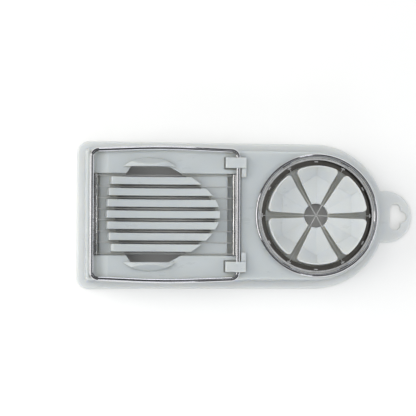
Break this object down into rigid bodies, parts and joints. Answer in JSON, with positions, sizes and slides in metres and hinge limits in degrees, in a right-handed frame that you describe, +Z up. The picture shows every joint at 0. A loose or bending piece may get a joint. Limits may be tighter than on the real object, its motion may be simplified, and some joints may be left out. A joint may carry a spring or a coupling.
{
  "type": "egg slicer",
  "caption": "Egg slicer with a hinged wire slicing frame over a slatted cradle, a petal cup with a lift-off wedger ring, and a hanging tab.",
  "frame": {"origin": "centre of the overall length and width, on the surface the base stands on", "axes": "+X along the length from the slicing frame's free end to the hanging tab, +Y across, +Z up out of the deck"},
  "size_m": [0.2, 0.088, 0.031],
  "materials": {
    "white_abs": "moulded, soft gloss",
    "clip_abs": "moulded, soft gloss",
    "chromed_rod": "bright chrome on round rod",
    "pressed_steel": "pressed and polished",
    "cutting_wire": "drawn stainless wire"
  },
  "bodies": {
    "base": {"base_moulding": "white_abs", "hinge_clip_rear": "clip_abs", "hinge_clip_front": "clip_abs"},
    "slicer_frame": {"frame_rod": "chromed_rod", "free_end_wire_bar": "pressed_steel", "hinge_end_wire_bar": "pressed_steel", "slicing_wire_1": "cutting_wire", "slicing_wire_2": "cutting_wire", "slicing_wire_3": "cutting_wire", "slicing_wire_4": "cutting_wire", "slicing_wire_5": "cutting_wire", "slicing_wire_6": "cutting_wire", "slicing_wire_7": "cutting_wire", "slicing_wire_8": "cutting_wire"},
    "wedger": {"wedger_rod_ring": "chromed_rod", "wedger_wire_carrier": "pressed_steel", "wedge_wire_1": "cutting_wire", "wedge_wire_2": "cutting_wire", "wedge_wire_3": "cutting_wire"}
  },
  "joints": [
    {"name": "frame_hinge", "type": "hinge", "parent": "base", "child": "slicer_frame", "pos_m": [-0.0052, 0, 0.0237], "axis": [0, 1, 0], "range_deg": [0, 100]},
    {"name": "wedger_lift", "type": "slide", "parent": "base", "child": "wedger", "axis": [0, 0, 1], "range_m": [0, 0.04]}
  ]
}
